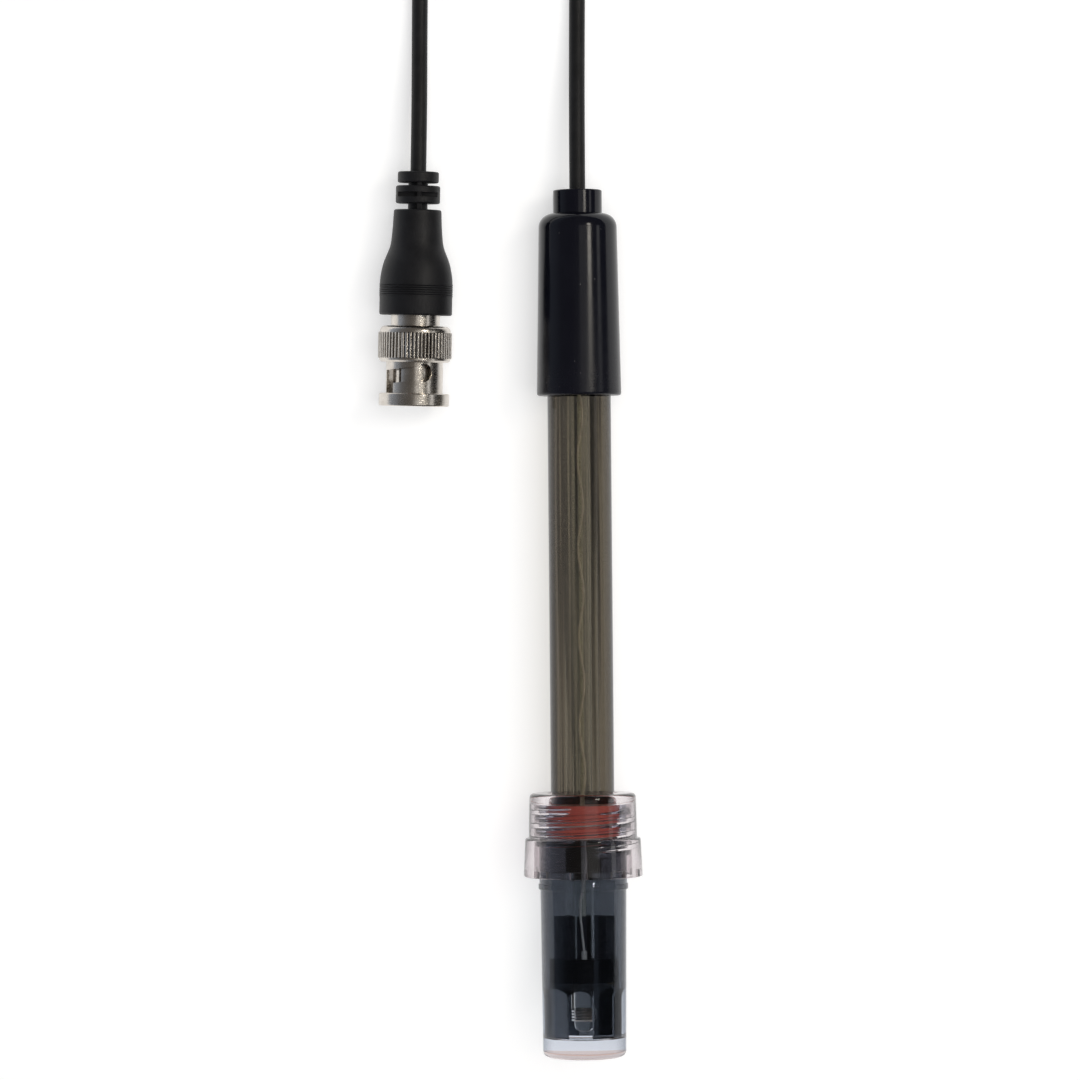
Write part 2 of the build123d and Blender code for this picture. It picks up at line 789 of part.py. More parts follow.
# The probe rests on the collar's rim and the handle's shoulder, so its axis leans by a little
rest_r = skirt_low_r
rest_s = collar_low + skirt_straight
shoulder_s = handle_low + handle_taper_length
lean = math.atan2(rest_r - handle_high_r, shoulder_s - rest_s)
lift = rest_r * math.cos(lean) + rest_s * math.sin(lean)
probe_turn = Rot(-90 - math.degrees(lean), 0, 0)
ends = [(probe_turn * piece).bounding_box() for piece in (storage_vial, handle_cap)]
middle_y = (min(box.min.Y for box in ends) + max(box.max.Y for box in ends)) / 2
probe_place = Pos(0, -middle_y, lift) * probe_turn
plug_lift = max(band_r, knurl_r)
plug_place = Pos(plug_mouth_x, plug_mouth_y, plug_lift) * Rot(0, 0, -plug_yaw) * Rot(-90, 0, 0)


def on_probe(along):
    """Point on the probe's axis where it lies."""
    return (probe_place * Pos(0, 0, along)).position


def on_plug(along):
    """Point on the plug's axis where it lies."""
    return (plug_place * Pos(0, 0, along)).position


# Put-away coil: two layers of turns as one ring, which the cable's ends run into
cable_r = cable_d / 2
coil_outer_turn = coil_inner_turn + (coil_lanes - 1) * cable_d
coil_inner_r = coil_inner_turn - cable_r
coil_outer_r = coil_outer_turn + cable_r
coil_height = coil_layers * cable_d
top_lane = coil_height - cable_r
coil_ring = turned(
    (
        (coil_inner_r, 0),
        (coil_outer_r, 0),
        (coil_outer_r, coil_height),
        (coil_inner_r, coil_height),
    ),
    (
        ((coil_inner_r, 0), coil_edge_r),
        ((coil_outer_r, 0), coil_edge_r),
        ((coil_outer_r, coil_height), coil_edge_r),
        ((coil_inner_r, coil_height), coil_edge_r),
    ),
)


coil_core = turned(
    (
        (coil_inner_r + tie_thickness, tie_thickness),
        (coil_outer_r - tie_thickness, tie_thickness),
        (coil_outer_r - tie_thickness, coil_height - tie_thickness),
        (coil_inner_r + tie_thickness, coil_height - tie_thickness),
    ),
    (
        ((coil_inner_r + tie_thickness, tie_thickness), coil_edge_r - tie_thickness),
        ((coil_outer_r - tie_thickness, tie_thickness), coil_edge_r - tie_thickness),
        ((coil_outer_r - tie_thickness, coil_height - tie_thickness), coil_edge_r - tie_thickness),
        ((coil_inner_r + tie_thickness, coil_height - tie_thickness), coil_edge_r - tie_thickness),
    ),
)
tie_reach = Box(tie_width, 2 * coil_outer_r, 3 * coil_height, align=(Align.CENTER, Align.MIN, Align.CENTER))
strap = (coil_ring - coil_core) & tie_reach
coil_place = Pos(coil_x, coil_y, 0)
cable_coil = coil_place * (coil_ring - strap)
coil_tie = coil_place * strap


def cable_tube(name, points):
    """Tube of the cable through chosen points, each bend as large as its runs allow."""
    spots = [Vector(*point) for point in points]
    radii = []
    for before, here, after in zip(spots, spots[1:], spots[2:]):
        turn = (here - before).get_angle(after - here)
        shorter = min((here - before).length, (after - here).length)
        radii.append(0.45 * shorter / math.tan(math.radians(turn / 2)))
    print(name, "bend radii", [round(radius, 1) for radius in radii])
    path = FilletPolyline(*spots, radius=radii)
    section = Plane(origin=path @ 0, z_dir=path % 0) * Circle(cable_r)
    tube = sweep(section, path)
    share = tube.volume / (section.area * path.length)
    print(name, "length", round(path.length, 1), "volume share", round(share, 4))
    return tube


# Cable from the handle: down to the floor, then aside into the coil's outer turn
lead_start = on_probe(handle_high - cable_in_gland)
lead_straight = on_probe(handle_high + lead_run_out)
entry_y = coil_y - coil_entry
lead_end = (coil_x + coil_outer_turn, entry_y, cable_r)
lead_points = (
    lead_start,
    lead_straight,
    (0.1, 106.0, 3.2),
    (0.9, 117.0, cable_r),
    (lead_end[0], 130.0, cable_r),
    lead_end,
)
cable_lead = cable_tube("lead", lead_points)

# Cable from the plug: down to the floor and up onto the coil's upper layer
tail_start = on_plug(stem_end + press_gap)
tail_end = (coil_x - coil_outer_turn, entry_y, top_lane)
tail_points = (
    tail_start,
    on_plug(boot_end + tail_run_out),
    (-29.7, 107.0, 2.2),
    (-31.3, 118.0, 1.7),
    (tail_end[0], 130.0, top_lane),
    tail_end,
)
cable_tail = cable_tube("tail", tail_points)

probe_pieces = {
    "body_tube": body_tube,
    "bulkhead_plug": bulkhead_plug,
    "reference_junction": reference_junction,
    "stem_tube": stem_tube,
    "glass_tip": glass_tip,
    "platinum_winding": platinum_winding,
    "signal_wire": signal_wire,
    "reference_wire": reference_wire,
    "wire_crimp": wire_crimp,
    "end_plug": end_plug,
    "handle_cap": handle_cap,
    "cable_gland": cable_gland,
    "seal_ring": seal_ring,
    "screw_collar": screw_collar,
    "storage_vial": storage_vial,
}
plug_pieces = {
    "coupling_sleeve": coupling_sleeve,
    "outer_contact": outer_contact,
    "insulator": insulator,
    "center_pin": center_pin,
    "gasket": gasket,
    "spring_washer": spring_washer,
    "thrust_washer": thrust_washer,
    "plug_body": plug_body,
    "crimp_ferrule": crimp_ferrule,
    "plug_boot": plug_boot,
}
placed = {name: probe_place * piece for name, piece in probe_pieces.items()}
placed.update({name: plug_place * piece for name, piece in plug_pieces.items()})
placed["cable_lead"] = cable_lead
placed["cable_coil"] = cable_coil
placed["coil_tie"] = coil_tie
placed["cable_tail"] = cable_tail

for name, piece in placed.items():
    export_step(piece, f"parts/{name}.step")
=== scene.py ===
import json
import math

import bmesh
import bpy
from mathutils import Matrix, Vector


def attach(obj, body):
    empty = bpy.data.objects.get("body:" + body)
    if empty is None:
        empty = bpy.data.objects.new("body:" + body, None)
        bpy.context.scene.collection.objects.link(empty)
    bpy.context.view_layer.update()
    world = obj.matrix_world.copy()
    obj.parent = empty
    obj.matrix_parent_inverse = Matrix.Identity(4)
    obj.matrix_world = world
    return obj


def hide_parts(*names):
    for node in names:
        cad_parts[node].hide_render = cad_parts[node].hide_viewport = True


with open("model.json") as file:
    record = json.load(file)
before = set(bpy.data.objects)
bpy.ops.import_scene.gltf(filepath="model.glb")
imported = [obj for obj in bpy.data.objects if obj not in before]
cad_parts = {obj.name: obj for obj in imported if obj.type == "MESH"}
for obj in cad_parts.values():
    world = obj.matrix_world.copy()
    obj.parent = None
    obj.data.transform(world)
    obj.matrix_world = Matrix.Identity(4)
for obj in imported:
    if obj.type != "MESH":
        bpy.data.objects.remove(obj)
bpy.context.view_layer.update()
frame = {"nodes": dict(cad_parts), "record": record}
mm = 0.001

# Axes of the probe and of the plug, worked out from the mounts in the record
mounts = {mount["name"]: mount for mount in frame["record"]["mounts"]}
shaft_middle = 87.2
contact_middle = 5.3


def axis_frame(mount_name, place_on_axis):
    """Matrix from millimetres beside and along an axis to metres in the row's frame."""
    mount = mounts[mount_name]
    along = -Vector(mount["axis"]).normalized()
    right = Vector((1, 0, 0))
    right = (right - along * right.dot(along)).normalized()
    back = along.cross(right)
    origin = Vector(mount["pos_m"]) - along * place_on_axis * mm
    turn = Matrix((right, back, along)).transposed().to_4x4()
    return Matrix.Translation(origin) @ turn @ Matrix.Scale(mm, 4)


probe_axis = axis_frame("body_shaft", shaft_middle)
plug_axis = axis_frame("plug_outer_contact", contact_middle)

# Cable: the route from the handle, the coil's turns and the route back to the plug
cable_d = 3.0 * mm
# A curve's box grows by the radius of its points, so that is small and the bevel deep
point_radius = 0.0001
coil_middle = (-0.015, 0.152)
lanes = (0.012, 0.015, 0.018, 0.021)
low_layer = 0.0015
high_layer = 0.0045
points_per_turn = 12
lead_route = (
    (0.0, 0.0776, 0.00728),
    (0.0, 0.09459, 0.00675),
    (0.0002, 0.111, 0.0024),
    (0.0004, 0.1255, 0.0015),
    (0.006, 0.137, 0.0015),
    (0.006, 0.1455, 0.0015),
)
tail_route = (
    (-0.036, 0.1455, 0.0045),
    (-0.036, 0.137, 0.0045),
    (-0.0293, 0.1255, 0.0018),
    (-0.02955, 0.111, 0.0022),
    (-0.02965, 0.09333, 0.00695),
    (-0.03043, 0.06716, 0.00695),
)


def ramp(value, low, high):
    """0 below low, 1 above high, and a straight rise between them."""
    return min(1.0, max(0.0, (value - low) / (high - low)))


def coil_point(turned):
    """Control point of the coil after so many degrees of winding."""
    inward = sum(ramp(turned, start, start + 60) for start in (300, 660, 1020))
    outward = sum(ramp(turned, start, start + 60) for start in (1620, 1980, 2340))
    radius = lanes[-1] - (lanes[1] - lanes[0]) * (inward - outward)
    height = low_layer + (high_layer - low_layer) * ramp(turned, 1320, 1380)
    reach = radius / math.cos(math.pi / points_per_turn)
    angle = math.radians(turned)
    return (coil_middle[0] + reach * math.cos(angle), coil_middle[1] + reach * math.sin(angle), height)


def cable():
    """The whole cable as one smooth line, from the handle round the coil to the plug."""
    step = 360 / points_per_turn
    turns = [coil_point(step * number) for number in range(int(2700 / step) + 1)]
    route = (*lead_route, *turns, *tail_route)
    curve = bpy.data.curves.new("cable", "CURVE")
    curve.dimensions = "3D"
    curve.bevel_depth = cable_d / 2 / point_radius
    curve.bevel_resolution = 8
    curve.resolution_u = 6
    curve.use_fill_caps = True
    spline = curve.splines.new("NURBS")
    spline.points.add(len(route) - 1)
    for point, place in zip(spline.points, route):
        point.co = (*place, 1.0)
        point.radius = point_radius
    spline.order_u = 3
    spline.use_endpoint_u = True
    piece = bpy.data.objects.new("cable", curve)
    bpy.context.scene.collection.objects.link(piece)
    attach(piece, "probe")
    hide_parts("cable_lead", "cable_coil", "cable_tail")
    return piece


def camera():
    """Camera above the object, at the photograph's distance and lean."""
    lens_angle = 2 * math.atan(540 / 4800)
    place = Vector((-0.0076, 0.0459, 0.913))
    target = Vector((-0.0076, 0.0158, 0.009))
    lean = math.radians(0.5)
    back = (place - target).normalized()
    up = Vector((math.sin(lean), math.cos(lean), 0))
    right = up.cross(back).normalized()
    up = back.cross(right)
    data = bpy.data.cameras.new("camera")
    data.angle = lens_angle
    data.clip_start = 0.01
    data.clip_end = 10
    piece = bpy.data.objects.new("camera", data)
    piece.matrix_world = Matrix.Translation(place) @ Matrix((right, up, back)).transposed().to_4x4()
    bpy.context.scene.collection.objects.link(piece)
    bpy.context.scene.camera = piece


def shader(name):
    """New material with its node tree, output and Principled shader."""
    material = bpy.data.materials.new(name)
    material.use_nodes = True
    tree = material.node_tree
    return material, tree, tree.nodes["Principled BSDF"]


def node(tree, kind, **values):
    """New node whose named inputs or properties are set."""
    made = tree.nodes.new(kind)
    for name, value in values.items():
        socket = made.inputs.get(name.replace("_", " ").title()) or made.inputs.get(name)
        if hasattr(made, name):
            setattr(made, name, value)
        elif socket is not None:
            socket.default_value = value
        else:
            raise KeyError(f"{kind} has no {name}")
    return made


def mapped(tree, scale=(1, 1, 1)):
    """Object coordinates in metres, stretched by a scale on each axis."""
    place = node(tree, "ShaderNodeTexCoord")
    stretch = node(tree, "ShaderNodeMapping")
    stretch.inputs["Scale"].default_value = scale
    tree.links.new(place.outputs["Object"], stretch.inputs["Vector"])
    return stretch.outputs["Vector"]


def local(tree, axis, scale=(1, 1, 1)):
    """Millimetres beside and along an axis, stretched by a scale on each of its directions."""
    place = node(tree, "ShaderNodeTexCoord")
    turn = node(tree, "ShaderNodeMapping")
    shift, turned, size = axis.inverted().decompose()
    turn.inputs["Location"].default_value = shift
    turn.inputs["Rotation"].default_value = turned.to_euler()
    turn.inputs["Scale"].default_value = size
    tree.links.new(place.outputs["Object"], turn.inputs["Vector"])
    stretch = node(tree, "ShaderNodeMapping")
    stretch.inputs["Scale"].default_value = scale
    tree.links.new(turn.outputs["Vector"], stretch.inputs["Vector"])
    return stretch.outputs["Vector"]


def split(tree, vector):
    """The three numbers of a vector."""
    made = node(tree, "ShaderNodeSeparateXYZ")
    tree.links.new(vector, made.inputs[0])
    return made.outputs


def math_node(tree, operation, *values):
    """Result of a sum on sockets or numbers."""
    made = node(tree, "ShaderNodeMath", operation=operation)
    for socket, value in zip(made.inputs, values):
        if hasattr(value, "links"):
            tree.links.new(value, socket)
        else:
            socket.default_value = value
    return made.outputs[0]


def noise(tree, vector, size, detail=3.0, roughness=0.55):
    """Noise whose features measure about size metres."""
    made = node(tree, "ShaderNodeTexNoise")
    made.inputs["Scale"].default_value = 1 / size
    made.inputs["Detail"].default_value = detail
    made.inputs["Roughness"].default_value = roughness
    tree.links.new(vector, made.inputs["Vector"])
    return made.outputs["Fac"]


def ranged(tree, value, low, high, to_low, to_high):
    """Maps a value from one range to another, held at both ends."""
    made = node(tree, "ShaderNodeMapRange")
    for index, number in enumerate((low, high, to_low, to_high), start=1):
        made.inputs[index].default_value = number
    tree.links.new(value, made.inputs[0])
    return made.outputs[0]


def blended(tree, factor, first, second):
    """Colour between two colours or sockets."""
    made = node(tree, "ShaderNodeMix", data_type="RGBA")
    tree.links.new(factor, made.inputs[0])
    for socket, colour in ((made.inputs[6], first), (made.inputs[7], second)):
        if hasattr(colour, "links"):
            tree.links.new(colour, socket)
        else:
            socket.default_value = (*colour, 1)
    return made.outputs[2]


def bumped(tree, principled, height, depth, strength=1.0):
    """Bump of that depth in metres from a height between 0 and 1."""
    made = node(tree, "ShaderNodeBump")
    made.inputs["Strength"].default_value = strength
    made.inputs["Distance"].default_value = depth
    tree.links.new(height, made.inputs["Height"])
    tree.links.new(made.outputs["Normal"], principled.inputs["Normal"])


def let_lamps_through(material, tree, principled, tint):
    """Clear material whose shadow is a tint in place of a dark blot."""
    output = tree.nodes["Material Output"]
    rays = node(tree, "ShaderNodeLightPath")
    passing = node(tree, "ShaderNodeBsdfTransparent")
    passing.inputs["Color"].default_value = (*tint, 1)
    mix = node(tree, "ShaderNodeMixShader")
    tree.links.new(rays.outputs["Is Shadow Ray"], mix.inputs[0])
    tree.links.new(principled.outputs[0], mix.inputs[1])
    tree.links.new(passing.outputs[0], mix.inputs[2])
    tree.links.new(mix.outputs[0], output.inputs["Surface"])


def clear(name, colour, ior, shadow, roughness=0.02, scratch=0.0, edge=None, streaks=None, gloss=(0.35, 0.38, 0.44)):
    """Clear plastic, glass or liquid, deeper in colour where its wall is seen edge on."""
    material, tree, principled = shader(name)
    place = mapped(tree)
    haze = noise(tree, place, 0.004)
    tree.links.new(ranged(tree, haze, 0.35, 0.7, roughness, roughness * 2.5), principled.inputs["Roughness"])
    principled.inputs["Transmission Weight"].default_value = 1.0
    principled.inputs["IOR"].default_value = ior
    principled.inputs["Specular Tint"].default_value = (*gloss, 1)
    principled.inputs["Base Color"].default_value = (*colour, 1)
    tint = colour
    if streaks:
        drawn = local(tree, probe_axis, (1, 1, 0.012))
        lines = ranged(tree, noise(tree, drawn, 1.9, detail=2.0, roughness=0.8), 0.44, 0.52, 0, 1)
        tint = blended(tree, lines, streaks, colour)
    if edge:
        facing = node(tree, "ShaderNodeLayerWeight", Blend=0.5)
        tint = blended(tree, ranged(tree, facing.outputs["Facing"], 0.3, 0.72, 0, 1), tint, edge)
    if hasattr(tint, "links"):
        tree.links.new(tint, principled.inputs["Base Color"])
    if scratch:
        bumped(tree, principled, noise(tree, place, 0.0015), scratch)
    let_lamps_through(material, tree, principled, shadow)
    return material


def handle_plastic():
    """Blue-black moulded plastic, polished round the neck and shoulder and dulled by hands below them."""
    material, tree, principled = shader("handle_plastic")
    place = mapped(tree)
    along = split(tree, local(tree, probe_axis))[2]
    worn = ranged(tree, along, handle_low, handle_low + 30, 0.27, 0.13)
    mottle = ranged(tree, noise(tree, place, 0.0016), 0.3, 0.7, -0.035, 0.035)
    tree.links.new(math_node(tree, "ADD", worn, mottle), principled.inputs["Roughness"])
    shade = ranged(tree, noise(tree, place, 0.006), 0.3, 0.7, 0, 1)
    body = blended(tree, shade, (0.0035, 0.0038, 0.0075), (0.005, 0.0054, 0.0095))
    specks = node(tree, "ShaderNodeTexVoronoi")
    specks.inputs["Scale"].default_value = 1 / 0.0021
    tree.links.new(place, specks.inputs["Vector"])
    dust = ranged(tree, specks.outputs["Distance"], 0.035, 0.055, 0.35, 0)
    tree.links.new(blended(tree, dust, body, (0.25, 0.24, 0.22)), principled.inputs["Base Color"])
    principled.inputs["Specular IOR Level"].default_value = 0.3
    bumped(tree, principled, noise(tree, place, 0.0006), 0.000002)
    return material


def nickel():
    """Satin nickel with a fine grain, darker between the ridges of the coupling's grip from painted shade and dirt."""
    material, tree, principled = shader("nickel")
    place = mapped(tree)
    fine = noise(tree, place, 0.00018)
    broad = noise(tree, place, 0.0016, detail=2.0)
    across, away, along = split(tree, local(tree, plug_axis))
    turned = math_node(tree, "ARCTAN2", across, math_node(tree, "MULTIPLY", away, -1))
    wave = math_node(tree, "COSINE", math_node(tree, "MULTIPLY", turned, knurl_count))
    radius = math_node(tree, "SQRT", math_node(tree, "ADD", math_node(tree, "MULTIPLY", across, across),
                                                math_node(tree, "MULTIPLY", away, away)))
    here = math_node(tree, "MULTIPLY", ranged(tree, along, knurl_low, knurl_low + 0.2, 0, 1),
                     ranged(tree, along, knurl_high - 0.2, knurl_high, 1, 0))
    here = math_node(tree, "MULTIPLY", here, ranged(tree, radius, knurl_root_r - 0.05, knurl_root_r, 0, 1))
    # Painted shade and dirt: the metal's colour is darkened in the hollows between the grip's ridges
    gap_shade_and_dirt = math_node(tree, "MULTIPLY", ranged(tree, wave, -0.9, -0.2, 1, 0), here)
    metal = blended(tree, ranged(tree, broad, 0.3, 0.7, 0, 1), (0.60, 0.555, 0.50), (0.72, 0.68, 0.63))
    tree.links.new(blended(tree, gap_shade_and_dirt, metal, (0.24, 0.21, 0.18)), principled.inputs["Base Color"])
    tree.links.new(ranged(tree, fine, 0.3, 0.7, 0.2, 0.32), principled.inputs["Roughness"])
    principled.inputs["Metallic"].default_value = 1.0
    grain = math_node(tree, "MULTIPLY", fine, 0.004)
    ridge = math_node(tree, "MULTIPLY", math_node(tree, "MULTIPLY", wave, here), 0.5)
    bumped(tree, principled, math_node(tree, "ADD", grain, ridge), 0.00013)
    return material


def plain(name, dark, light, roughness, spread, grain, depth, metal=0.0, ior=1.5, stretch=(1, 1, 1), level=0.5):
    """Solid material between two colours, with its roughness and grain."""
    material, tree, principled = shader(name)
    place = mapped(tree, stretch)
    fine = noise(tree, place, grain)
    broad = noise(tree, place, grain * 9, detail=2.0)
    tree.links.new(blended(tree, ranged(tree, broad, 0.3, 0.7, 0, 1), dark, light), principled.inputs["Base Color"])
    tree.links.new(ranged(tree, fine, 0.3, 0.7, roughness - spread, roughness + spread), principled.inputs["Roughness"])
    principled.inputs["Metallic"].default_value = metal
    principled.inputs["IOR"].default_value = ior
    principled.inputs["Specular IOR Level"].default_value = level
    bumped(tree, principled, fine, depth)
    return material


# Sizes along the probe and across it, in millimetres, as the solids have them
tip = 3.9
tube_r = 6.0
tube_bore_r = 4.8
spigot_r = 5.6
spigot_top = 150.0
handle_low = 124.5
groove = (49.2, 49.9, 0.2)
bulkhead_high = 18.8
windows = ((-7.3, 4.1), (112.7, 7.0), (232.7, 7.0))
window_top = 12.9
window_corner = 1.9
vial_floor = 3.6
vial_base_r = 7.85
vial_top_r = 8.13
vial_body_length = 31.6
bead_r = 8.48
neck_base = 32.7
neck_r = 8.3
vial_top = 47.5
vial_bore_r = 6.5
seat_r = 7.05
seal_seat = 41.3
seal_high = 47.7
thread_pitch = 2.5
thread_depth = 0.8
thread_low = 38.0
thread_turns = 3.5
collar_low = 34.0
collar_high = 49.7
collar_bore_r = 9.3


# Grip of the coupling sleeve, from the plug's mouth
knurl_count = 60
knurl_low = 9.0
knurl_high = 13.9
knurl_root_r = 6.71


def rounded(corners, steps=6):
    """Outline through corners (radius, height, rounding), with an arc at each rounded one."""
    points = []
    count = len(corners)
    for index, (across, along, rounding) in enumerate(corners):
        here = Vector((across, along))
        if not rounding:
            points.append(here)
            continue
        before = Vector(corners[index - 1][:2]) - here
        after = Vector(corners[(index + 1) % count][:2]) - here
        half = before.angle(after) / 2
        reach = rounding / math.tan(half)
        middle = here + (before.normalized() + after.normalized()).normalized() * rounding / math.sin(half)
        start = here + before.normalized() * reach - middle
        end = here + after.normalized() * reach - middle
        turn = start.angle_signed(end)
        for step in range(steps + 1):
            angle = -turn * step / steps
            points.append(middle + Matrix.Rotation(angle, 2) @ start)
    return points


def on_axis(across, along, angle):
    """Point beside an axis: zero degrees is the front, positive to the right."""
    return Vector((across * math.sin(angle), -across * math.cos(angle), along))


def skin(name, axis, columns, slots, body, stands_for, materials_used, sharp=35):
    """Closed piece from columns of points, with one material slot for each row of faces."""
    mesh = bpy.data.meshes.new(name)
    rows = len(columns[0])
    points = [axis @ point for column in columns for point in column]
    faces = []
    marks = []
    for column in range(len(columns) - 1):
        for row in range(rows):
            above = (row + 1) % rows
            start = column * rows
            faces.append((start + row, start + above, start + rows + above, start + rows + row))
            marks.append(slots(column, row) if callable(slots) else slots[row])
    mesh.from_pydata(points, [], faces)
    mesh.polygons.foreach_set("material_index", marks)
    work = bmesh.new()
    work.from_mesh(mesh)
    bmesh.ops.remove_doubles(work, verts=work.verts, dist=0.000001)
    bmesh.ops.dissolve_degenerate(work, edges=work.edges, dist=0.0000005)
    bmesh.ops.recalc_face_normals(work, faces=work.faces)
    work.to_mesh(mesh)
    work.free()
    mesh.shade_smooth()
    mesh.set_sharp_from_angle(angle=math.radians(sharp))
    for material in materials_used:
        mesh.materials.append(material)
    piece = bpy.data.objects.new(name, mesh)
    bpy.context.scene.collection.objects.link(piece)
    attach(piece, body)
    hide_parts(stands_for)
    return piece


def angles_with(steps, extra=()):
    """Evenly spaced angles over one whole turn, with extra ones among them."""
    even = [math.tau * step / steps for step in range(steps + 1)]
    return sorted({*even, *(angle % math.tau for angle in extra)})


def thread_rows(inner_r, rise, low, high, first, turns, root, crest, angle, per_flank=3, per_flat=4):
    """Rows of a helical thread on a wall at one angle, held between two heights."""
    shares = []
    half_root = root / 2
    half_crest = crest / 2
    for step in range(per_flat):
        shares.append((-half_root - (thread_pitch - root) * (1 - step / per_flat), 0.0))
    for step in range(per_flank):
        shares.append((-half_root + (half_root - half_crest) * step / per_flank, step / per_flank))
    for step in range(2):
        shares.append((-half_crest + crest * step / 2, 1.0))
    for step in range(per_flank):
        shares.append((half_crest + (half_root - half_crest) * step / per_flank, 1 - step / per_flank))
    rows = []
    whole = math.ceil((high - low) / thread_pitch) + 1
    first_turn = math.floor((low - first) / thread_pitch) - 1
    for number in range(first_turn, first_turn + whole + 2):
        wound = number + angle / math.tau
        fade = ramp(wound, 0, 0.12) * (1 - ramp(wound, turns - 0.12, turns))
        smooth = fade * fade * (3 - 2 * fade)
        for offset, height in shares:
            along = min(high, max(low, first + wound * thread_pitch + offset))
            eased = height * height * (3 - 2 * height)
            rows.append(Vector((inner_r + rise * eased * smooth, along)))
    return rows


def vial(materials_used):
    """Storage vial: tapered cup with a bead, a threaded neck and a wetted bore."""
    outside = rounded((
        (0, 0.5, 0), (3.65, 0.5, 0.4), (3.65, 0, 0.15), (vial_base_r, 0, 1.2), (vial_top_r, vial_body_length, 0.1),
        (bead_r, vial_body_length, 0.2), (bead_r, neck_base, 0.14), (neck_r, neck_base, 0),
    ))
    top = [Vector((neck_r, vial_top)), Vector((seat_r, vial_top)), Vector((seat_r, seal_seat))]
    inside = rounded(((seat_r, seal_seat, 0), (vial_bore_r, seal_seat, 0), (vial_bore_r, vial_floor, 1.2), (0, vial_floor, 0)))[1:]
    columns = []
    for angle in angles_with(216):
        neck = thread_rows(neck_r, thread_depth, neck_base, vial_top, thread_low, thread_turns, 1.1, 0.5, angle)
        column = [*outside, *neck, *top, *inside]
        columns.append([on_axis(point.x, point.y, angle) for point in column])
    dry = len(outside) + len(neck) + len(top)
    slots = [0] * (dry - 1) + [1] * (len(columns[0]) - dry + 1)
    dimple = sum(1 for point in outside if point.x < 3.7)
    rounding = sum(1 for point in outside if point.y < 1.1 and point.x > 3.7)
    # The dimple's rows take the nearly black tint, a painted dark refraction
    slots[1:dimple] = [3] * (dimple - 1)
    slots[dimple:dimple + rounding] = [2] * rounding
    return skin("vial_body", probe_axis, columns, slots, "vial", "storage_vial", materials_used)


def collar(materials_used):
    """Screw collar: a waisted cap whose thread runs between the vial's turns, with notches under its lip."""
    waist = 0.66
    outside = rounded((
        (collar_bore_r, collar_low, 0), (11.2, collar_low, 0.3), (11.2, collar_low + 0.5, 0), (10.88, 41.3, 0.4),
        (10.22, 41.3, 0.2), (10.03, collar_high, 0.9), (6.45, collar_high, 0.3), (6.45, seal_high, 0), (collar_bore_r, seal_high, 0),
    ))
    notch_edges = []
    for number in range(8):
        middle = math.radians(-5.35 + 45 * number)
        notch_edges.extend((middle - math.radians(9), middle + math.radians(9)))
    edges = [edge + shift for edge in notch_edges for shift in (-0.0006, 0.0006)]
    columns = []
    depths = []
    for angle in angles_with(216, edges):
        place = (math.degrees(angle) + 5.35 + 9) % 45
        depth = 0.95 if place < 18 else 0
        depths.append(depth)
        wall = thread_rows(collar_bore_r, -thread_depth, collar_low + 1.6, seal_high, thread_low + thread_pitch / 2, thread_turns - 0.5, 1.1, 0.5, angle)
        lip = [
            Vector((collar_bore_r + depth, collar_low)),
            Vector((collar_bore_r + depth, collar_low + 1.3)),
            Vector((collar_bore_r, collar_low + 1.3)),
        ]
        column = [*lip, *wall, *reversed(outside[1:])]
        columns.append([on_axis(point.x, point.y, angle) for point in column])

    def slots(column, row):
        """The notches' roofs and sides have the frosted finish."""
        here, after = depths[column], depths[column + 1]
        roof = row == 1 and here > 0 and after > 0
        side = row in (0, 1) and here != after
        return 1 if roof or side else 0

    return skin("collar_body", probe_axis, columns, slots, "collar", "screw_collar", materials_used)


def tube(materials_used):
    """Tinted body tube with arched windows in its guard."""
    spans = 12
    plain_steps = 20
    columns = []
    for number, (turn, width) in enumerate(windows):
        half = width / 2
        corner = min(window_corner, width * 0.46)
        middle = math.radians(turn)
        next_turn, next_width = windows[(number + 1) % len(windows)]
        next_middle = math.radians(next_turn) + (math.tau if next_turn < turn else 0)
        for step in range(2 * spans + 1):
            across = half * math.sin(math.pi / 2 * (step / spans - 1))
            past = max(0.0, abs(across) - half + corner)
            foot = window_top - corner + math.sqrt(max(0.0, corner ** 2 - past ** 2))
            columns.append((middle + math.asin(across / tube_r), middle + math.asin(across / tube_bore_r), foot))
        for step in range(plain_steps + 1):
            share = step / plain_steps
            pair = []
            for radius in (tube_r, tube_bore_r):
                start = middle + math.asin(half / radius)
                end = next_middle - math.asin(next_width / 2 / radius)
                pair.append(start + (end - start) * share)
            columns.append((*pair, tip))
    columns.append((columns[0][0] + math.tau, columns[0][1] + math.tau, columns[0][2]))
    built = []
    edge = 0.12
    for outer, inner, foot in columns:
        outside = [
            (tube_r - edge, foot), (tube_r, foot + edge), (tube_r, 14.0), (tube_r, 30.0), (tube_r, 47.0), (tube_r, groove[0]),
            (tube_r - groove[2], groove[0]), (tube_r - groove[2], groove[1]), (tube_r, groove[1]), (tube_r, 80.0),
            (tube_r, handle_low), (spigot_r, handle_low), (spigot_r, spigot_top),
        ]
        inside = [
            (tube_bore_r, spigot_top), (tube_bore_r, handle_low), (tube_bore_r, 80.0), (tube_bore_r, bulkhead_high),
            (tube_bore_r, 14.0), (tube_bore_r, foot + edge), (tube_bore_r + edge, foot),
        ]
        column = [on_axis(across, along, outer) for across, along in outside]
        column += [on_axis(across, along, inner) for across, along in inside]
        built.append(column)
    wet = 1
    dry = 0
    gel = 2
    cut = 3
    slots = [cut] + [wet] * 3 + [dry] * 8 + [gel] * 4 + [wet] * 2 + [cut] * 2
    return skin("tube_body", probe_axis, built, slots, "probe", "body_tube", materials_used)


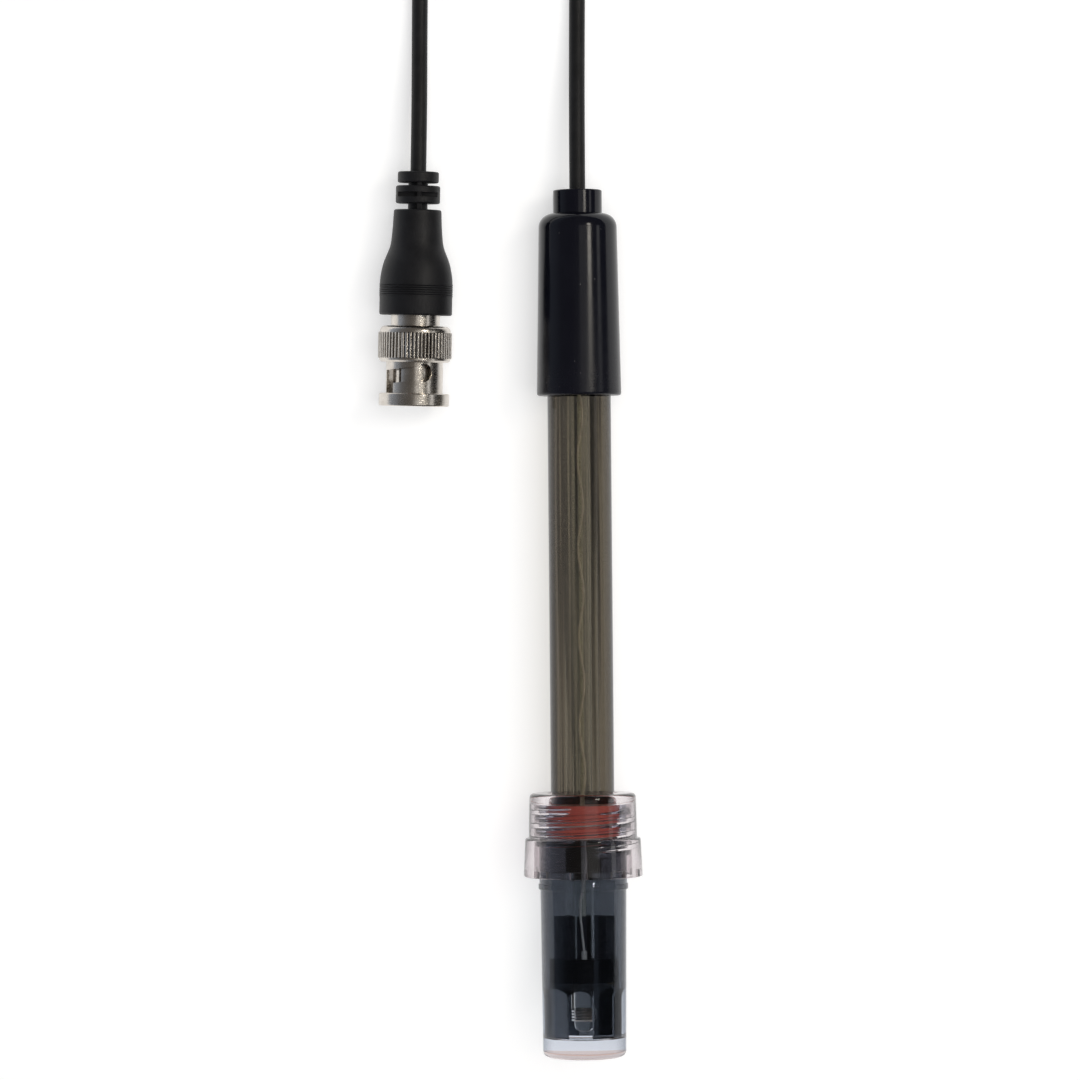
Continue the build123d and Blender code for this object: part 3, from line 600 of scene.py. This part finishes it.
materials = {
    "smoke_plastic": clear(
        "smoke_plastic", (0.19, 0.165, 0.128), 1.49, (0.6, 0.55, 0.45), edge=(0.008, 0.008, 0.01), streaks=(0.045, 0.04, 0.035),
        gloss=(0.15, 0.15, 0.17),
    ),
    "smoke_in_liquid": clear("smoke_in_liquid", (0.10, 0.108, 0.12), 1.12, (0.8, 0.8, 0.8)),
    "smoke_cut": clear("smoke_cut", (0.006, 0.008, 0.012), 1.12, (0.5, 0.5, 0.5)),
    "smoke_on_gel": clear("smoke_on_gel", (0.9, 0.9, 0.9), 1.1, (0.9, 0.9, 0.9)),
    "wetted_plastic": clear("wetted_plastic", (0.93, 0.95, 0.98), 1.12, (0.95, 0.95, 0.95)),
    "clear_plastic": clear("clear_plastic", (0.74, 0.78, 0.86), 1.53, (0.9, 0.92, 0.94), edge=(0.10, 0.13, 0.19)),
    "vial_foot": clear("vial_foot", (0.66, 0.50, 0.46), 1.53, (0.9, 0.85, 0.85)),
    # The dimple is tinted nearly black, a painted dark refraction standing for dark surroundings seen through it
    "vial_dimple": clear("vial_dimple", (0.05, 0.06, 0.075), 1.53, (0.7, 0.7, 0.7)),
    "collar_plastic": clear(
        "collar_plastic", (0.80, 0.75, 0.765), 1.49, (0.93, 0.9, 0.91), edge=(0.30, 0.26, 0.28), gloss=(0.8, 0.8, 0.8),
    ),
    "frosted_plastic": clear("frosted_plastic", (0.8, 0.76, 0.77), 1.3, (0.9, 0.9, 0.9), roughness=0.35),
    "clear_glass": clear("clear_glass", (0.95, 0.97, 0.96), 1.2, (0.9, 0.92, 0.9)),
    "handle_plastic": handle_plastic(),
    "boot_rubber": plain("boot_rubber", (0.0065, 0.0065, 0.0075), (0.010, 0.010, 0.0115), 0.5, 0.05, 0.0003, 0.000015, level=0.35),
    "cable_jacket": plain("cable_jacket", (0.008, 0.008, 0.0085), (0.013, 0.013, 0.0135), 0.5, 0.06, 0.0003, 0.00001, level=0.3),
    "nickel": nickel(),
    "gold": plain("gold", (0.78, 0.55, 0.22), (0.86, 0.66, 0.32), 0.25, 0.05, 0.0002, 0.000005, metal=1.0),
    "white_insulator": plain("white_insulator", (0.78, 0.78, 0.76), (0.86, 0.86, 0.84), 0.5, 0.08, 0.0005, 0.00001),
    "red_silicone": plain("red_silicone", (0.52, 0.09, 0.055), (0.62, 0.13, 0.08), 0.45, 0.06, 0.0005, 0.00001),
    "black_epoxy": plain("black_epoxy", (0.018, 0.021, 0.03), (0.03, 0.034, 0.046), 0.3, 0.08, 0.0004, 0.00002),
    "platinum": plain("platinum", (0.42, 0.41, 0.39), (0.6, 0.59, 0.56), 0.2, 0.05, 0.0002, 0.000005, metal=1.0),
    "silver_wire": plain("silver_wire", (0.86, 0.85, 0.82), (0.97, 0.96, 0.93), 0.3, 0.1, 0.0002, 0.000005, metal=0.25),
    "tan_ceramic": plain("tan_ceramic", (0.50, 0.38, 0.22), (0.62, 0.49, 0.30), 0.6, 0.1, 0.0001, 0.00002),
    "tie_plastic": plain("tie_plastic", (0.012, 0.012, 0.012), (0.02, 0.02, 0.02), 0.7, 0.1, 0.0002, 0.00005),
}
for subpart in frame["record"]["subparts"]:
    mesh = frame["nodes"][subpart["node"]].data
    mesh.materials.clear()
    mesh.materials.append(materials[subpart["material_slot"]])


def floor():
    """Pale floor that keeps the object's shadow and shows white where nothing shades it."""
    size = 3.0
    mesh = bpy.data.meshes.new("floor")
    mesh.from_pydata([(-size, -size, 0), (size, -size, 0), (size, size, 0), (-size, size, 0)], [], [(0, 1, 2, 3)])
    piece = bpy.data.objects.new("floor", mesh)
    piece.location.z = -0.0001
    bpy.context.scene.collection.objects.link(piece)
    material, tree, principled = shader("floor_white")
    principled.inputs["Base Color"].default_value = (0.62, 0.62, 0.62, 1)
    principled.inputs["Roughness"].default_value = 0.9
    principled.inputs["Specular IOR Level"].default_value = 0.0
    glow = node(tree, "ShaderNodeEmission")
    rays = node(tree, "ShaderNodeLightPath")
    seen = node(tree, "ShaderNodeMath", operation="MAXIMUM")
    shown = node(tree, "ShaderNodeMath", operation="MAXIMUM")
    tree.links.new(rays.outputs["Is Camera Ray"], seen.inputs[0])
    tree.links.new(rays.outputs["Is Glossy Ray"], seen.inputs[1])
    tree.links.new(seen.outputs[0], shown.inputs[0])
    tree.links.new(rays.outputs["Is Transmission Ray"], shown.inputs[1])
    tree.links.new(ranged(tree, shown.outputs[0], 0, 1, 0, 0.5), glow.inputs["Strength"])
    both = node(tree, "ShaderNodeAddShader")
    tree.links.new(principled.outputs[0], both.inputs[0])
    tree.links.new(glow.outputs[0], both.inputs[1])
    tree.links.new(both.outputs[0], tree.nodes["Material Output"].inputs["Surface"])
    mesh.materials.append(material)


def lamp(name, direction, reach, along, size, radiance, colour=(1, 1, 1), seen=True):
    """Rectangular soft lamp, so many degrees right of straight up and so far from the object's middle."""
    angle = math.radians(direction)
    target = Vector((-0.008, along, 0.01))
    away = Vector((math.sin(angle), 0, math.cos(angle)))
    data = bpy.data.lights.new(name, "AREA")
    data.shape = "RECTANGLE"
    data.size, data.size_y = size
    data.energy = 4 * radiance * size[0] * size[1]
    data.color = colour
    piece = bpy.data.objects.new(name, data)
    piece.visible_glossy = seen
    piece.visible_transmission = False
    side = Vector((0, 1, 0)).cross(away)
    piece.matrix_world = (
        Matrix.Translation(target + away * reach) @ Matrix((side, Vector((0, 1, 0)), away)).transposed().to_4x4()
    )
    bpy.context.scene.collection.objects.link(piece)


def lights():
    """Dim room, one broad soft lamp that no surface mirrors, and softboxes to the right that they do mirror."""
    world = bpy.data.worlds.new("studio")
    bpy.context.scene.world = world
    world.use_nodes = True
    tree = world.node_tree
    place = node(tree, "ShaderNodeTexCoord")
    across, _, up = split(tree, place.outputs["Generated"])
    angle = math_node(tree, "ARCTAN2", across, up)
    room = node(tree, "ShaderNodeValToRGB")
    tree.links.new(ranged(tree, angle, math.radians(-100), math.radians(100), 0, 1), room.inputs[0])
    stops = (
        (-95, (0.34, 0.39, 0.48)), (-72, (0.28, 0.31, 0.36)), (-50, (0.13, 0.13, 0.135)), (-20, (0.10, 0.092, 0.085)),
        (10, (0.14, 0.13, 0.12)), (50, (0.08, 0.078, 0.075)), (75, (0.06, 0.06, 0.06)), (95, (0.04, 0.04, 0.04)),
    )
    elements = room.color_ramp.elements
    elements.remove(elements[1])
    elements[0].position = 0.0
    for degrees, colour in stops:
        elements.new((degrees + 100) / 200).color = (*colour, 1)
    elements[0].color = (*stops[0][1], 1)
    rays = node(tree, "ShaderNodeLightPath")
    shown = blended(tree, rays.outputs["Is Camera Ray"], room.outputs["Color"], (1, 1, 1))
    tree.links.new(shown, tree.nodes["Background"].inputs["Color"])
    lamp("fill_lamp", 9, 1.5, 0.02, (1.1, 1.1), 3.3, seen=False)
    lamp("warm_strip", 34, 1.25, 0.40, (0.22, 0.42), 8.0, (1.0, 0.94, 0.84))
    lamp("glint_lamp", 26, 1.25, -0.11, (0.03, 0.014), 90.0, (1.0, 0.97, 0.9))
    lamp("soft_box", 18, 1.4, 0.12, (0.7, 0.42), 0.42, (1.0, 0.98, 0.95))
    lamp("side_box", 62, 1.2, 0.08, (0.2, 0.36), 1.0)
    lamp("cool_strip", 33, 1.3, -0.28, (0.3, 0.36), 0.35, (0.72, 0.85, 1.0))


vial([materials[name] for name in ("clear_plastic", "wetted_plastic", "vial_foot", "vial_dimple")])
collar([materials["collar_plastic"], materials["frosted_plastic"]])
tube([materials[name] for name in ("smoke_plastic", "smoke_in_liquid", "smoke_on_gel", "smoke_cut")])
floor()
lights()
cable().data.materials.append(materials["cable_jacket"])
camera()
bpy.context.scene.view_settings.view_transform = "Standard"

bpy.context.view_layer.update()
